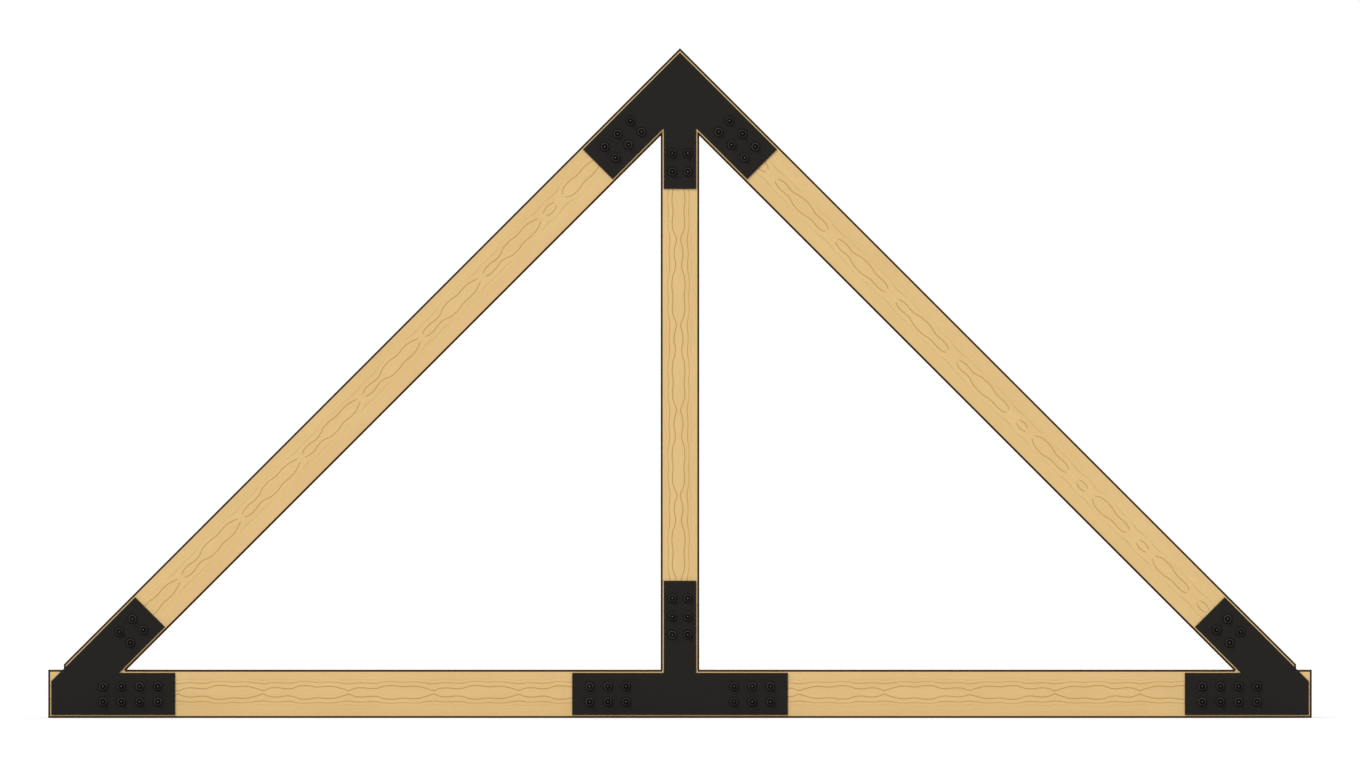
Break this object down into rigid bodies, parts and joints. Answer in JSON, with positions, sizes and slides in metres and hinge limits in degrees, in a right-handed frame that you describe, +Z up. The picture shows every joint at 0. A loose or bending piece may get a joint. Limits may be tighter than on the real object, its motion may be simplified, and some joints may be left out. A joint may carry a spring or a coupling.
{
  "type": "wooden roof truss",
  "caption": "King post roof truss: timber bottom chord, two sloping rafters and a post, bolted together through black steel plates on both faces.",
  "frame": {"origin": "middle of the bottom chord's underside, on the floor that the truss stands on", "axes": "+X along the span to the right, +Y through the thickness to the back (bolt heads), +Z up to the peak"},
  "size_m": [5.25, 0.21, 2.783],
  "materials": {
    "timber": "planed softwood, unfinished",
    "steel_plate": "matt black powder coat",
    "washer_steel": "satin black coating",
    "bolt_steel": "satin black coating"
  },
  "bodies": {
    "root": {"bottom_chord": "timber", "rafter_left": "timber", "rafter_right": "timber", "king_post": "timber", "apex_plate_front": "steel_plate", "apex_plate_back": "steel_plate", "heel_plate_left_front": "steel_plate", "heel_plate_left_back": "steel_plate", "heel_plate_right_front": "steel_plate", "heel_plate_right_back": "steel_plate", "foot_plate_front": "steel_plate", "foot_plate_back": "steel_plate", "apex_left_bolts": "bolt_steel", "apex_left_nuts": "bolt_steel", "apex_left_washers": "washer_steel", "apex_right_bolts": "bolt_steel", "apex_right_nuts": "bolt_steel", "apex_right_washers": "washer_steel", "apex_post_bolts": "bolt_steel", "apex_post_nuts": "bolt_steel", "apex_post_washers": "washer_steel", "heel_left_rafter_bolts": "bolt_steel", "heel_left_rafter_nuts": "bolt_steel", "heel_left_rafter_washers": "washer_steel", "heel_left_chord_bolts": "bolt_steel", "heel_left_chord_nuts": "bolt_steel", "heel_left_chord_washers": "washer_steel", "heel_right_rafter_bolts": "bolt_steel", "heel_right_rafter_nuts": "bolt_steel", "heel_right_rafter_washers": "washer_steel", "heel_right_chord_bolts": "bolt_steel", "heel_right_chord_nuts": "bolt_steel", "heel_right_chord_washers": "washer_steel", "foot_post_bolts": "bolt_steel", "foot_post_nuts": "bolt_steel", "foot_post_washers": "washer_steel", "foot_left_bolts": "bolt_steel", "foot_left_nuts": "bolt_steel", "foot_left_washers": "washer_steel", "foot_right_bolts": "bolt_steel", "foot_right_nuts": "bolt_steel", "foot_right_washers": "washer_steel"}
  },
  "joints": []
}
